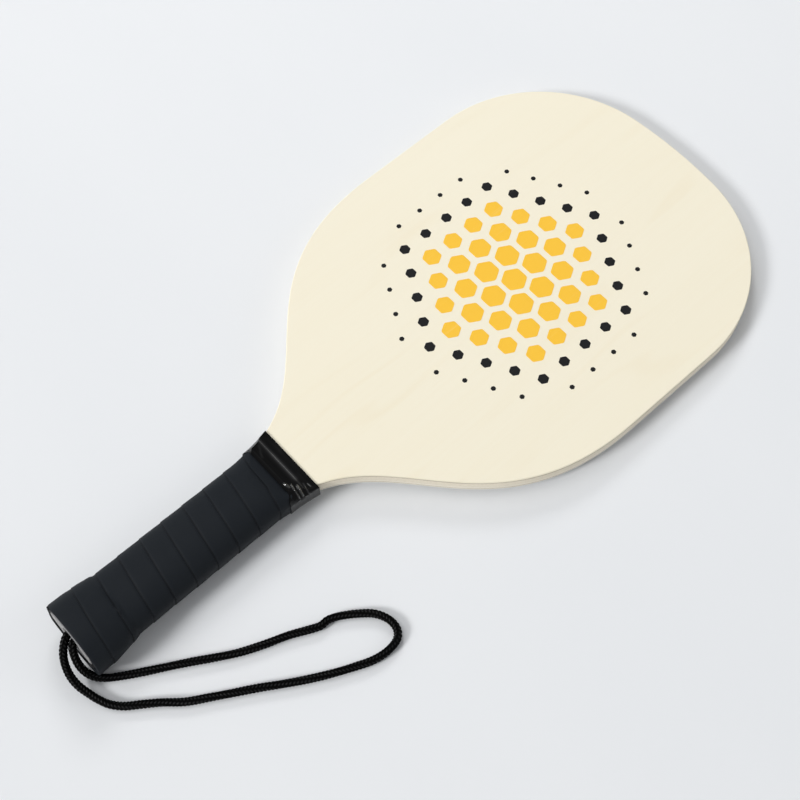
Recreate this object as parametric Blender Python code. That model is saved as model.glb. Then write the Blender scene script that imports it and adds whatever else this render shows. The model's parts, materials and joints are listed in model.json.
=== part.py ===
"""Wooden pickleball paddle with a wound grip and a wrist cord.

The paddle is five plies of wood. Two pallets on its tongue make the oval handle, which a
band flares at the butt. A soft tape is wound over them, and a glossy tape finishes it at the
neck. Both ends of the wrist cord go into a hole drilled in the butt, where one brad holds
them. The paddle lies face up on a flat surface, with the cord's loop beside its handle.
"""

import math

import bmesh
import bpy
from mathutils import Matrix, Vector

# Blade outline, seen from above
LENGTH = 0.400
BLADE_WIDTH = 0.1935
TIP_RADIUS = 0.255
CORNER_RADIUS = 0.077
SIDE_END = 0.1352  # from the tip to the end of the straight sides
SHOULDER_PULL = 0.0984
NECK_PULL = 0.0671
HANDLE_STRAIGHT = 0.1084  # from the butt to where the neck starts to widen

# Plies and the glue between them
FACE_PLY = 0.0009
CROSS_PLY = 0.0019
CORE_PLY = 0.0025
GLUE_LINE = 0.0001
EDGE_ROUND = 0.0005

# Bare handle, an oval with short flats, which the pallets fill above and below the plies
HANDLE_WIDTH = 0.0304
HANDLE_THICKNESS = 0.0179
SIDE_FLAT = 0.0024
CROWN_FLAT = 0.0024
PALLET_LENGTH = 0.1205
PALLET_RAMP = 0.0150
PALLET_TOE = 0.0008
BUTT_SLANT = math.radians(3.4)  # the butt is cut off square by this, longest at its underside

# Band that builds up the butt under the tape
BAND_LENGTH = 0.0215
BAND_TAPER = 0.0050
BAND_THICKNESS = 0.0018
BAND_END_THICKNESS = 0.0004
BAND_EASE = 0.0030  # over which the tape comes down past the band

# Grip tape, wound from the butt to the neck
TAPE_THICKNESS = 0.0017
TAPE_STEP = 0.0004  # how far each turn stands proud at its seam
TAPE_PITCH = 0.0125
TAPE_SHORT = 0.0025  # from the tape's end to the pallets' toes
TAPE_TIP_WIDTH = 0.0020
TURN_GAP = 0.0005
FIRST_SEAM = 0.0140  # from the butt, where the first seam crosses the +Y side

# Finishing tape at the neck
COLLAR_LAP = 0.0020  # over the grip tape
COLLAR_SLOPE = 0.0060
COLLAR_LAND = 0.0062  # close on the bare neck
COLLAR_THICKNESS = 0.0004
COLLAR_CORNER = 0.0006

# Wrist cord, its hole in the butt and the brad through its tails
CORD_DIAMETER = 0.0042
STRAND_GAP = 0.0005  # between the two strands in the hole
HOLE_DEPTH = 0.0300
MOUTH_FLARE = 0.0014
MOUTH_DEPTH = 0.0030
TAIL_RECESS = 0.0030
BRAD_DIAMETER = 0.0012
BRAD_SHORT = 0.0042  # from the brad's far end to the core's far side
BRAD_FROM_BUTT = 0.0160

# Clearance that pieces keep where one rests on another or passes through it
GAP = 0.0003

# How the paddle's lie is found: a first guess of its tilt, made better in a few rounds
FIRST_TILT = math.radians(0.1)
LIE_ROUNDS = 6

# Facets
SHARP_ANGLE = math.radians(40)
ARC_STEP = math.radians(2.5)
CURVE_STEPS = 40
ROUND_STEPS = 3
RING_POINTS = 24
TAPE_ROWS = 4
RAMP_STEPS = 6
ROUTE_STEPS = 12  # between two of the cord's own points
CORD_POINTS = 76
CORD_SIDES_LEVEL = 3

# Free loop of the cord as it lies, from its strand at -Y round to its strand at +Y:
# X and Y from the middle of the hole's mouth, and the cord's rise off the surface
CORD_ROUTE = (
    (-0.0021, -0.0039, 0.0112),
    (-0.0036, -0.0066, 0.0093),
    (-0.0045, -0.0099, 0.0069),
    (-0.0044, -0.0137, 0.0043),
    (-0.0027, -0.0177, 0.0021),
    (0.0009, -0.0214, 0.0008),
    (0.0059, -0.0249, 0.0003),
    (0.0146, -0.0302, 0.0001),
    (0.0243, -0.0358, 0.0001),
    (0.0340, -0.0415, 0.0001),
    (0.0435, -0.0474, 0.0001),
    (0.0531, -0.0530, 0.0001),
    (0.0639, -0.0578, 0.0001),
    (0.0748, -0.0620, 0.0001),
    (0.0829, -0.0660, 0.0001),
    (0.0887, -0.0686, 0.0001),
    (0.0935, -0.0689, 0.0001),
    (0.0988, -0.0713, 0.0001),
    (0.1053, -0.0758, 0.0001),
    (0.1111, -0.0811, 0.0001),
    (0.1142, -0.0876, 0.0001),
    (0.1139, -0.0935, 0.0001),
    (0.1105, -0.0972, 0.0001),
    (0.1040, -0.0983, 0.0001),
    (0.0963, -0.0971, 0.0001),
    (0.0877, -0.0936, 0.0001),
    (0.0775, -0.0887, 0.0001),
    (0.0677, -0.0833, 0.0001),
    (0.0583, -0.0775, 0.0001),
    (0.0491, -0.0715, 0.0001),
    (0.0396, -0.0658, 0.0001),
    (0.0301, -0.0600, 0.0001),
    (0.0208, -0.0542, 0.0001),
    (0.0127, -0.0472, 0.0001),
    (0.0055, -0.0418, 0.0001),
    (-0.0006, -0.0373, 0.0001),
    (-0.0051, -0.0322, 0.0002),
    (-0.0077, -0.0267, 0.0005),
    (-0.0092, -0.0219, 0.0012),
    (-0.0104, -0.0174, 0.0024),
    (-0.0107, -0.0132, 0.0040),
    (-0.0101, -0.0092, 0.0060),
    (-0.0088, -0.0059, 0.0081),
    (-0.0070, -0.0031, 0.0099),
    (-0.0048, -0.0008, 0.0111),
    (-0.0024, 0.0011, 0.0117),
)

TAPE_END = PALLET_LENGTH - TAPE_SHORT
COLLAR_START = TAPE_END - COLLAR_LAP
COLLAR_LEAVE = TAPE_END + GAP
COLLAR_LANDING = COLLAR_LEAVE + COLLAR_SLOPE
COLLAR_END = COLLAR_LANDING + COLLAR_LAND
BLADE_THICKNESS = 2 * FACE_PLY + 2 * CROSS_PLY + CORE_PLY + 4 * GLUE_LINE
HALF_BLADE = BLADE_THICKNESS / 2
PALLET_FACE = HALF_BLADE + GLUE_LINE
CORD_SPACING = CORD_DIAMETER + STRAND_GAP
HOLE_RADIUS = CORD_SPACING / 2 + CORD_DIAMETER / 2 + GAP
TAPE_LIFT = 2 * GAP + TAPE_THICKNESS + TAPE_STEP
TURN = 2 * math.pi


def clear_scene():
    """Removes every object of the open scene."""
    for old in list(bpy.data.objects):
        bpy.data.objects.remove(old)


def make_material(name, colour, roughness, metallic=0.0):
    """Returns a Principled material of one colour."""
    material = bpy.data.materials.new(name)
    material.use_nodes = True
    shader = material.node_tree.nodes["Principled BSDF"]
    shader.inputs["Base Color"].default_value = (*colour, 1.0)
    shader.inputs["Roughness"].default_value = roughness
    shader.inputs["Metallic"].default_value = metallic
    return material


def add_object(name, data, parent, material=None):
    """Links a mesh, a curve or an empty as a named object under a parent."""
    made = bpy.data.objects.new(name, data)
    made.parent = parent
    if material:
        data.materials.append(material)
    bpy.context.collection.objects.link(made)
    return made


def finish_mesh(name, shape):
    """Turns a bmesh into a smooth shaded mesh that faces outwards."""
    bmesh.ops.recalc_face_normals(shape, faces=shape.faces)
    if shape.calc_volume(signed=True) < 0:
        bmesh.ops.reverse_faces(shape, faces=shape.faces)
    mesh = bpy.data.meshes.new(name)
    shape.to_mesh(mesh)
    shape.free()
    mesh.shade_smooth()
    mesh.set_sharp_from_angle(angle=SHARP_ANGLE)
    return mesh


def loft(rings, closed=False, across=False):
    """Skins equal rings of points, joined end to end if closed and otherwise capped.

    A cap is one face, or strips across a ring that is its own mirror image from its first point.
    """
    shape = bmesh.new()
    rows = [[shape.verts.new(point) for point in ring] for ring in rings]
    pairs = list(zip(rows, rows[1:]))
    if closed:
        pairs.append((rows[-1], rows[0]))
    count = len(rows[0])
    for cap in () if closed else (rows[0], rows[-1]):
        if across:
            shape.faces.new((cap[0], cap[1], cap[-1]))
            for i in range(1, count // 2):
                shape.faces.new((cap[i], cap[i + 1], cap[-i - 1], cap[-i]))
        else:
            shape.faces.new(cap)
    for low, high in pairs:
        for i in range(count):
            j = (i + 1) % count
            shape.faces.new((low[i], low[j], high[j], high[i]))
    return shape


def cut(target, cutter):
    """Takes a cutter's shape out of an object."""
    modifier = target.modifiers.new("cut", "BOOLEAN")
    modifier.operation = "DIFFERENCE"
    modifier.solver = "EXACT"
    modifier.object = cutter


def ease(value, start, end):
    """Goes smoothly from 0 at start to 1 at end."""
    t = min(max((value - start) / (end - start), 0.0), 1.0)
    return t * t * (3 - 2 * t)


def mix(first, last, share):
    """The value a share of the way from first to last."""
    return first + (last - first) * share


def arc_points(centre, radius, first, last):
    """Points along an arc, both ends included."""
    steps = max(2, math.ceil(abs(last - first) / ARC_STEP))
    angles = [mix(first, last, i / steps) for i in range(steps + 1)]
    return [(centre[0] + radius * math.cos(a), centre[1] + radius * math.sin(a)) for a in angles]


def neck_curve():
    """The shoulder and neck, from the straight side to the tongue, as one cubic curve."""
    half, tongue_half = BLADE_WIDTH / 2, HANDLE_WIDTH / 2
    side_end = LENGTH - SIDE_END
    a = Vector((side_end, half))
    b = Vector((side_end - SHOULDER_PULL, half))
    c = Vector((HANDLE_STRAIGHT + NECK_PULL, tongue_half))
    d = Vector((HANDLE_STRAIGHT, tongue_half))
    points = []
    for i in range(CURVE_STEPS + 1):
        t = i / CURVE_STEPS
        u = 1 - t
        point = u**3 * a + 3 * u * u * t * b + 3 * u * t * t * c + t**3 * d
        points.append((point.x, point.y))
    return points


def paddle_outline(z):
    """Half the outline from above at a height, from the tip along +Y to the butt.

    The tongue is rounded to the handle's oval as far as the tape covers it.
    """
    half = BLADE_WIDTH / 2
    tip_centre = LENGTH - TIP_RADIUS
    reach = math.sqrt((TIP_RADIUS - CORNER_RADIUS) ** 2 - (half - CORNER_RADIUS) ** 2)
    meet = math.atan2(half - CORNER_RADIUS, reach)
    corner_centre = (tip_centre + reach, half - CORNER_RADIUS)
    upper = arc_points((tip_centre, 0.0), TIP_RADIUS, 0.0, meet)
    upper += arc_points(corner_centre, CORNER_RADIUS, meet, math.pi / 2)[1:]
    upper += neck_curve()
    upper.append((butt_cut(z), HANDLE_WIDTH / 2))
    off = HANDLE_WIDTH / 2 - oval_half_width(z)
    return [(x, y - off * (1 - ease(x, TAPE_END, COLLAR_LANDING))) for x, y in upper]


def inset_half(half, inset):
    """Moves half an outline inwards by an even distance, with its first point kept on the axis."""
    ends = [(half[1][0], -half[1][1]), *half, (half[-1][0], -half[-1][1])]
    moved = []
    for before, point, after in zip(ends, half, ends[2:]):
        middle = Vector((0.0, 0.0))
        for run in (Vector(point) - Vector(before), Vector(after) - Vector(point)):
            middle += Vector((-run.y, run.x)).normalized()
        moved.append(tuple(Vector(point) + middle * (2 * inset / middle.length_squared)))
    return moved


def neck_half_width(x):
    """Half the width of the tongue and neck, at a distance from the butt."""
    if x <= HANDLE_STRAIGHT:
        return HANDLE_WIDTH / 2
    points = neck_curve()
    for (far, wide), (near, narrow) in zip(points, points[1:]):
        if near <= x <= far:
            return mix(narrow, wide, (x - near) / (far - near))
    return BLADE_WIDTH / 2


def oval_half_width(z):
    """Half the width of the bare handle's oval, at a height from its middle."""
    rise = max(abs(z) - SIDE_FLAT / 2, 0.0) / (HANDLE_THICKNESS / 2 - SIDE_FLAT / 2)
    return CROWN_FLAT / 2 + (HANDLE_WIDTH / 2 - CROWN_FLAT / 2) * math.sqrt(1 - rise * rise)


def butt_cut(z):
    """Where the butt ends at a height, which is X 0 at its middle."""
    return z * math.tan(BUTT_SLANT)


def handle_section(x):
    """Half width, half thickness and half flats of the bare handle, at a distance from the butt.

    The oval turns into the neck's flat section along the pallets' ramps.
    """
    ramp = ease(x, PALLET_LENGTH - PALLET_RAMP, PALLET_LENGTH)
    width = neck_half_width(x)
    thickness = mix(HANDLE_THICKNESS / 2, PALLET_FACE + PALLET_TOE, ramp)
    side = mix(SIDE_FLAT / 2, HALF_BLADE, ramp)
    crown = mix(CROWN_FLAT / 2, width - PALLET_TOE, ramp)
    return Vector((width, thickness, side, crown))


def section_point(section, angle, offset):
    """A point of a section, by its angle on the section's rounded corners, moved outwards."""
    width, thickness, side, crown = section
    c, s = math.cos(angle), math.sin(angle)
    y = math.copysign(crown, c) + (width - crown + offset) * c
    z = math.copysign(side, s) + (thickness - side + offset) * s
    return y, z


def handle_point(x, angle, offset):
    """A point of the bare handle, moved outwards by an offset."""
    return (x, *section_point(handle_section(x), angle, offset))


def butt_point(angle, offset):
    """A point of the bare handle on the butt's cut, moved outwards by an offset."""
    y, z = section_point(handle_section(0.0), angle, offset)
    return (butt_cut(z), y, z)


def ring_angle(k):
    """The angle of one point of a ring round the handle, clear of the flats."""
    return TURN * (k + 0.5) / RING_POINTS


def make_ply(name, bottom, top, parent, material, rounded=None):
    """One ply between two heights, with a tongue that follows the handle's oval."""
    levels = [(bottom, 0.0), (top, 0.0)]
    turns = [math.pi / 2 * i / ROUND_STEPS for i in range(ROUND_STEPS + 1)]
    curve = [(EDGE_ROUND * (1 - math.sin(a)), EDGE_ROUND * (1 - math.cos(a))) for a in turns]
    if rounded == "top":
        levels = [(bottom, 0.0)] + [(top - drop, inset) for drop, inset in curve]
    elif rounded == "bottom":
        levels = [(bottom + drop, inset) for drop, inset in reversed(curve)] + [(top, 0.0)]
    rings = []
    for z, inset in levels:
        half = inset_half(paddle_outline(z), inset)
        outline = half + [(x, -y) for x, y in reversed(half[1:])]
        rings.append([(x, y, z) for x, y in outline])
    return add_object(name, finish_mesh(name, loft(rings, across=True)), parent, material)


def make_plies(parent, pale, dark):
    """The five plies of the blade, from its back up."""
    stack = (
        ("back_veneer", FACE_PLY, pale, "bottom"),
        ("lower_cross_ply", CROSS_PLY, dark, None),
        ("core_ply", CORE_PLY, pale, None),
        ("upper_cross_ply", CROSS_PLY, dark, None),
        ("face_veneer", FACE_PLY, pale, "top"),
    )
    bottom = -HALF_BLADE
    plies = []
    for name, thickness, material, rounded in stack:
        plies.append(make_ply(name, bottom, bottom + thickness, parent, material, rounded))
        bottom += thickness + GLUE_LINE
    return plies


def make_pallet(name, side, parent, material):
    """One pallet: the cap of the handle's oval on one face of the plies."""
    ramp_start = PALLET_LENGTH - PALLET_RAMP
    stations = [0.0] + [mix(ramp_start, PALLET_LENGTH, i / RAMP_STEPS) for i in range(RAMP_STEPS + 1)]
    count = RING_POINTS // 2
    rings = []
    for x in stations:
        section = handle_section(x)
        foot = math.asin((PALLET_FACE - section[2]) / (section[1] - section[2]))
        ring = []
        for i in range(count):
            y, z = section_point(section, mix(foot, math.pi - foot, i / (count - 1)), 0.0)
            ring.append((x or butt_cut(side * z), y, side * z))
        rings.append(ring)
    return add_object(name, finish_mesh(name, loft(rings)), parent, material)


def make_sleeve(name, profile, parent, material):
    """A sleeve round the handle, from a closed profile of functions that place a point by angle."""
    rings = [[point(ring_angle(k)) for point in profile] for k in range(RING_POINTS)]
    return add_object(name, finish_mesh(name, loft(rings, closed=True)), parent, material)


def band_thickness(x):
    """Thickness of the butt's band, which thins towards the neck."""
    return mix(BAND_THICKNESS, BAND_END_THICKNESS, ease(x, BAND_LENGTH - BAND_TAPER, BAND_LENGTH))


def make_butt_band(parent, material):
    """The band that flares the butt, as a sleeve on the bare handle."""
    taper = [BAND_LENGTH - BAND_TAPER * i / RAMP_STEPS for i in range(RAMP_STEPS + 1)]

    def at(x, lift):
        return lambda angle: handle_point(x, angle, lift)

    profile = [lambda angle: butt_point(angle, GAP), at(BAND_LENGTH, GAP)]
    profile += [at(x, GAP + band_thickness(x)) for x in taper]
    profile.append(lambda angle: butt_point(angle, GAP + BAND_THICKNESS))
    return make_sleeve("butt_band", profile, parent, material)


def tape_seat(x):
    """How far the tape's inner face lies off the bare handle."""
    over_band = (band_thickness(x) + GAP) * (1 - ease(x, BAND_LENGTH, BAND_LENGTH + BAND_EASE))
    return GAP + over_band


def turn_shares():
    """How far round one turn each ring point lies, by its way along the handle's oval."""
    ring = [Vector(handle_point(0.0, ring_angle(-k), 0.0)) for k in range(RING_POINTS + 1)]
    runs = [0.0]
    for here, there in zip(ring, ring[1:]):
        runs.append(runs[-1] + (there - here).length)
    return [run / runs[-1] for run in runs[:-1]]


def tape_stations():
    """The strip's points along its whole winding: inner face, then outer face, row by row."""
    shares = turn_shares()
    most_turns = math.ceil((TAPE_END + TAPE_PITCH) / TAPE_PITCH) + 1
    stations = []
    for n in range(-2 * RING_POINTS, most_turns * RING_POINTS):
        edge = FIRST_SEAM + TAPE_PITCH * (n // RING_POINTS + shares[n % RING_POINTS])
        far = edge + TAPE_PITCH - TURN_GAP
        butt = butt_point(ring_angle(-n), tape_seat(0.0))[0]
        if far < butt + TAPE_TIP_WIDTH or edge > TAPE_END - TAPE_TIP_WIDTH:
            continue
        inner, outer = [], []
        for row in range(TAPE_ROWS + 1):
            x = mix(max(edge, butt), min(far, TAPE_END), row / TAPE_ROWS)
            seat = tape_seat(x)
            proud = TAPE_STEP * (1 - (x - edge) / TAPE_PITCH)
            inner.append(handle_point(x, ring_angle(-n), seat))
            outer.append(handle_point(x, ring_angle(-n), seat + TAPE_THICKNESS + proud))
        stations.append(inner + outer[::-1])
    return stations


def least_turn_gap(stations):
    """The least distance from one turn's far edge to the next turn's near edge."""
    far_rows = (TAPE_ROWS, TAPE_ROWS + 1)
    near_rows = (0, 2 * TAPE_ROWS + 1)
    gaps = []
    for i in range(len(stations) - RING_POINTS):
        for j in range(i + RING_POINTS - 1, min(i + RING_POINTS + 2, len(stations))):
            for a in far_rows:
                for b in near_rows:
                    gaps.append((Vector(stations[i][a]) - Vector(stations[j][b])).length)
    return min(gaps)


def make_grip_tape(parent, material):
    """The grip tape: one unbroken strip, wound over the band, the plies and the pallets."""
    stations = tape_stations()
    print(f"grip_tape: least gap to itself {least_turn_gap(stations) * 1000:.2f} mm")
    return add_object("grip_tape", finish_mesh("grip_tape", loft(stations)), parent, material)


def collar_section(x):
    """The finishing tape's inner section: round the grip at first, then close on the neck."""
    width = neck_half_width(x)
    flat = Vector((width, HALF_BLADE, HALF_BLADE - COLLAR_CORNER, width - COLLAR_CORNER))
    flat += Vector((GAP, GAP, 0.0, 0.0))
    grip = handle_section(min(x, COLLAR_LEAVE)) + Vector((TAPE_LIFT, TAPE_LIFT, 0.0, 0.0))
    return grip.lerp(flat, ease(x, COLLAR_LEAVE, COLLAR_LANDING))


def make_collar(parent, material):
    """The glossy tape that ends the grip, as a sleeve from the grip down onto the neck."""
    drop = [COLLAR_LEAVE + COLLAR_SLOPE * i / RAMP_STEPS for i in range(RAMP_STEPS + 1)]
    stations = [COLLAR_START] + drop + [COLLAR_END]

    def at(x, lift):
        section = collar_section(x)
        return lambda angle: (x, *section_point(section, angle, lift))

    profile = [at(x, 0.0) for x in stations] + [at(x, COLLAR_THICKNESS) for x in reversed(stations)]
    return make_sleeve("collar_tape", profile, parent, material)


def rod(name, stations, axis, parent, material=None):
    """A round rod along X or Y, through stations of place and radius."""
    rings = []
    for place, radius in stations:
        ring = []
        for k in range(RING_POINTS):
            u, v = radius * math.cos(ring_angle(k)), radius * math.sin(ring_angle(k))
            ring.append((place, u, v) if axis == "X" else (u, place, v))
        rings.append(ring)
    return add_object(name, finish_mesh(name, loft(rings)), parent, material)


def make_cutter(name, stations, axis, parent):
    """A rod that only cuts other pieces."""
    cutter = rod(name, stations, axis, parent)
    cutter.hide_render = True
    cutter.display_type = "WIRE"
    return cutter


def make_anchorage(parent, drilled, core, cord_material, brad_material):
    """The hole in the butt, the cord's two tails in it and the brad that pins them."""
    slope = MOUTH_FLARE / MOUTH_DEPTH
    mouth = [(-MOUTH_DEPTH, HOLE_RADIUS + 2 * slope * MOUTH_DEPTH), (MOUTH_DEPTH, HOLE_RADIUS)]
    hole = make_cutter("butt_hole", mouth + [(HOLE_DEPTH, HOLE_RADIUS)], "X", parent)
    for piece in drilled:
        cut(piece, hole)

    brad_top = HANDLE_WIDTH / 2 - GAP
    brad_end = BRAD_SHORT - HANDLE_WIDTH / 2
    bore = BRAD_DIAMETER / 2 + GAP
    pin_hole = make_cutter("brad_hole", [(brad_end - GAP, bore), (HANDLE_WIDTH, bore)], "Y", parent)
    radius = BRAD_DIAMETER / 2
    brad = rod("anchor_brad", [(brad_end, radius), (brad_top, radius)], "Y", parent, brad_material)
    for piece in (pin_hole, brad):
        piece.location.x = BRAD_FROM_BUTT
    cut(core, pin_hole)

    reach = [(TAIL_RECESS, CORD_DIAMETER / 2), (HOLE_DEPTH - GAP, CORD_DIAMETER / 2)]
    tails = []
    for name, side in (("cord_tail_left", 1), ("cord_tail_right", -1)):
        tail = rod(name, reach, "X", parent, cord_material)
        tail.location.y = side * CORD_SPACING / 2
        cut(tail, pin_hole)
        tails.append(tail)
    return [brad, *tails]


def lowest(points, tilt):
    """The point that lies lowest once the paddle is tilted nose down."""
    return min(points, key=lambda p: p.z * math.cos(tilt) - p.x * math.sin(tilt))


def lay_down(paddle, grip, back):
    """Lays the paddle on its butt and its tip, with its box centred over the origin."""
    grip_points = [v.co for v in grip.data.vertices]
    back_points = [v.co for v in back.data.vertices]
    tilt = FIRST_TILT
    for _ in range(LIE_ROUNDS):
        heel, toe = lowest(grip_points, tilt), lowest(back_points, tilt)
        tilt = math.atan2(toe.z - heel.z, toe.x - heel.x)
    turn = Matrix.Rotation(tilt, 4, "Y")
    ends = [(turn @ p).x for p in grip_points + back_points]
    shift = Vector((-(min(ends) + max(ends)) / 2, 0.0, -(turn @ lowest(grip_points, tilt)).z))
    paddle.matrix_world = Matrix.Translation(shift) @ turn
    print(f"paddle: nose down by {math.degrees(tilt):.3f} degrees")
    return paddle.matrix_world.copy()


def smooth_route(points, count):
    """Evenly spaced points on a smooth curve through a route's own points."""
    dense = []
    for i in range(len(points) - 1):
        before, here, there, after = (
            points[max(i - 1, 0)], points[i], points[i + 1], points[min(i + 2, len(points) - 1)],
        )
        for k in range(ROUTE_STEPS):
            t = k / ROUTE_STEPS
            pull_a, pull_b = (there - before) / 2, (after - here) / 2
            dense.append(
                (2 * t**3 - 3 * t**2 + 1) * here + (t**3 - 2 * t**2 + t) * pull_a
                + (3 * t**2 - 2 * t**3) * there + (t**3 - t**2) * pull_b
            )
    dense.append(points[-1])
    runs = [0.0]
    for here, there in zip(dense, dense[1:]):
        runs.append(runs[-1] + (there - here).length)
    even, k = [], 0
    for i in range(count):
        want = runs[-1] * i / (count - 1)
        while k < len(dense) - 2 and runs[k + 1] < want:
            k += 1
        even.append(dense[k].lerp(dense[k + 1], (want - runs[k]) / (runs[k + 1] - runs[k])))
    return even, runs[-1]


def make_wrist_cord(lie, material):
    """The cord's free loop, whose origin is on the upright axis through the hole's mouth."""
    mouth = lie @ Vector((0.0, 0.0, 0.0))
    pivot = add_object("cord_pivot", None, None)
    pivot.location = mouth
    rest = CORD_DIAMETER / 2 - mouth.z
    route = [Vector((x, y, rest + rise)) for x, y, rise in CORD_ROUTE]
    first, last = [lie.to_3x3() @ Vector((-GAP, y, 0.0)) for y in (-CORD_SPACING / 2, CORD_SPACING / 2)]
    points, length = smooth_route([first, *route, last], CORD_POINTS)
    curve = bpy.data.curves.new("wrist_cord", "CURVE")
    curve.dimensions = "3D"
    curve.bevel_depth = CORD_DIAMETER / 2
    curve.bevel_resolution = CORD_SIDES_LEVEL
    curve.use_fill_caps = True
    spline = curve.splines.new("POLY")
    spline.points.add(len(points) - 1)
    for knot, point in zip(spline.points, points):
        knot.co = (*point, 1.0)
    print(f"wrist_cord: free length {length * 1000:.1f} mm, mouth at {tuple(mouth)}")
    return add_object("wrist_cord", curve, pivot, material)


def build():
    """Makes every piece and lays the paddle down."""
    clear_scene()
    pale = make_material("pale_wood", (0.905, 0.831, 0.651), 0.55)
    dark = make_material("cross_grain_wood", (0.60, 0.51, 0.36), 0.65)
    pallet_wood = make_material("pallet_wood", (0.50, 0.47, 0.44), 0.65)
    padding = make_material("band_tape", (0.05, 0.05, 0.055), 0.8)
    soft_tape = make_material("grip_tape", (0.019, 0.021, 0.023), 0.6)
    gloss_tape = make_material("gloss_tape", (0.007, 0.007, 0.007), 0.2)
    braid = make_material("black_braid", (0.006, 0.006, 0.006), 0.75)
    steel = make_material("brad_steel", (0.55, 0.55, 0.56), 0.35, 1.0)

    paddle = add_object("paddle_lie", None, None)
    plies = make_plies(paddle, pale, dark)
    pallets = [
        make_pallet("upper_pallet", 1, paddle, pallet_wood),
        make_pallet("lower_pallet", -1, paddle, pallet_wood),
    ]
    make_butt_band(paddle, padding)
    grip = make_grip_tape(paddle, soft_tape)
    make_collar(paddle, gloss_tape)
    core = plies[2]
    make_anchorage(paddle, plies + pallets, core, braid, steel)
    lie = lay_down(paddle, grip, plies[0])
    make_wrist_cord(lie, braid)


build()
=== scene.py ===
"""Looks of a wooden paddle with a wound grip and a wrist cord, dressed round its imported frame.

The plies, the pallets and the brad stay as the frame has them and only take a finish. The soft
pieces are made anew where the frame has them: the wound tape, the band under it, the glossy
collar and the braided cord. A printed pattern lies on the face.
"""

from __future__ import annotations

import json
import logging
import math
from collections.abc import Mapping, Sequence
from dataclasses import dataclass
from enum import Enum

import bpy
import numpy as np
from mathutils import Matrix, Vector

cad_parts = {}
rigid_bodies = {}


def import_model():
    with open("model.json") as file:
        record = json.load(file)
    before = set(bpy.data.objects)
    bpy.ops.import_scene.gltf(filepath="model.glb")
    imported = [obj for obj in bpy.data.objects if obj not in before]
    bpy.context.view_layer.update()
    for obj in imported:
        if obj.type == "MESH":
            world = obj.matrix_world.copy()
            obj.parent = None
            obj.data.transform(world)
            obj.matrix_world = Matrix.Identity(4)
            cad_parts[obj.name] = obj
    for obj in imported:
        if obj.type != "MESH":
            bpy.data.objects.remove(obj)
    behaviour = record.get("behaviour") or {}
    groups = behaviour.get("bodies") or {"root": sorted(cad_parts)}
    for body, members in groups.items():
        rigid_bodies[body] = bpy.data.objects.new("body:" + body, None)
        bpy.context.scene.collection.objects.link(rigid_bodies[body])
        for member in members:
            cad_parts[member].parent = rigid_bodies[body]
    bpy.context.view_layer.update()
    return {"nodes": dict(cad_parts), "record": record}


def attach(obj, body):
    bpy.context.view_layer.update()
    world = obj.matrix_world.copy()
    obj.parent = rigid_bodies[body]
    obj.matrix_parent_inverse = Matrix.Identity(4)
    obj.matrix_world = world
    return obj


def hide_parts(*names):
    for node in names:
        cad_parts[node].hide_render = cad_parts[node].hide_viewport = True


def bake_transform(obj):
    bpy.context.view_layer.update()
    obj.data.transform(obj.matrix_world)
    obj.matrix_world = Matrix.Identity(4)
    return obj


LOG = logging.getLogger("paddle")
TURN = 2 * math.pi
MM = 0.001
Pair = tuple[float, float]
Triple = tuple[float, float, float]
Colour = Triple
# Painted shade on the butt's end face: its colour, its share and how deep it reaches
BUTT_SHADE_COLOUR: Colour = (0.25, 0.25, 0.257)
BUTT_SHADE_SHARE = 0.9
BUTT_SHADE_DEPTH = (0.0012, 0.0004)
# Weights of two angles and of a seed in each wave of a ripple
RIPPLES: tuple[Triple, ...] = ((1.7, 2.3, 1.0), (2.9, -1.3, 2.1), (-1.1, 3.7, 3.3))
# Sides of a hexagon, steps of a search by halves and what counts as nothing
HEX = 6
HALVINGS = 40
NEAR_ZERO = 1e-9


def ease(value: float, start: float, end: float) -> float:
    """Goes smoothly from 0 at start to 1 at end."""
    t = min(max((value - start) / (end - start), 0.0), 1.0)
    return t * t * (3 - 2 * t)


def mix(first: float, last: float, share: float) -> float:
    """The value a share of the way from first to last."""
    return first + (last - first) * share


def bell(value: float, width: float) -> float:
    """A smooth hump of height 1 at 0, which fades over a width."""
    return math.exp(-((value / width) ** 2))


def ripple(a: float, b: float, seed: float) -> float:
    """A slow, even unevenness from -1 to 1 over two angles, without any random draw."""
    return sum(math.sin(p * a + q * b + r * seed) for p, q, r in RIPPLES) / len(RIPPLES)


# Shader maths


class Sock:
    """An output of a node, which takes Python's operators and adds the Math nodes they stand for."""

    def __init__(self, nodes: Nodes, socket: bpy.types.NodeSocket) -> None:
        """Wraps a socket of a node tree."""
        self.nodes = nodes
        self.socket = socket

    def _math(self, operation: str, first: Sock | float, second: Sock | float) -> Sock:
        """One Math node on two values."""
        return self.nodes.add("ShaderNodeMath", {"operation": operation}, {0: first, 1: second})

    def __add__(self, other: Sock | float) -> Sock:
        """This value plus another."""
        return self._math("ADD", self, other)

    def __radd__(self, other: float) -> Sock:
        """A number plus this value."""
        return self._math("ADD", other, self)

    def __sub__(self, other: Sock | float) -> Sock:
        """This value less another."""
        return self._math("SUBTRACT", self, other)

    def __rsub__(self, other: float) -> Sock:
        """A number less this value."""
        return self._math("SUBTRACT", other, self)

    def __mul__(self, other: Sock | float) -> Sock:
        """This value times another."""
        return self._math("MULTIPLY", self, other)

    def __rmul__(self, other: float) -> Sock:
        """A number times this value."""
        return self._math("MULTIPLY", other, self)

    def __mod__(self, other: float) -> Sock:
        """What is left of this value after whole steps."""
        return self._math("FLOORED_MODULO", self, other)

    def __abs__(self) -> Sock:
        """This value without its sign."""
        return self._math("ABSOLUTE", self, 0.0)


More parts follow.
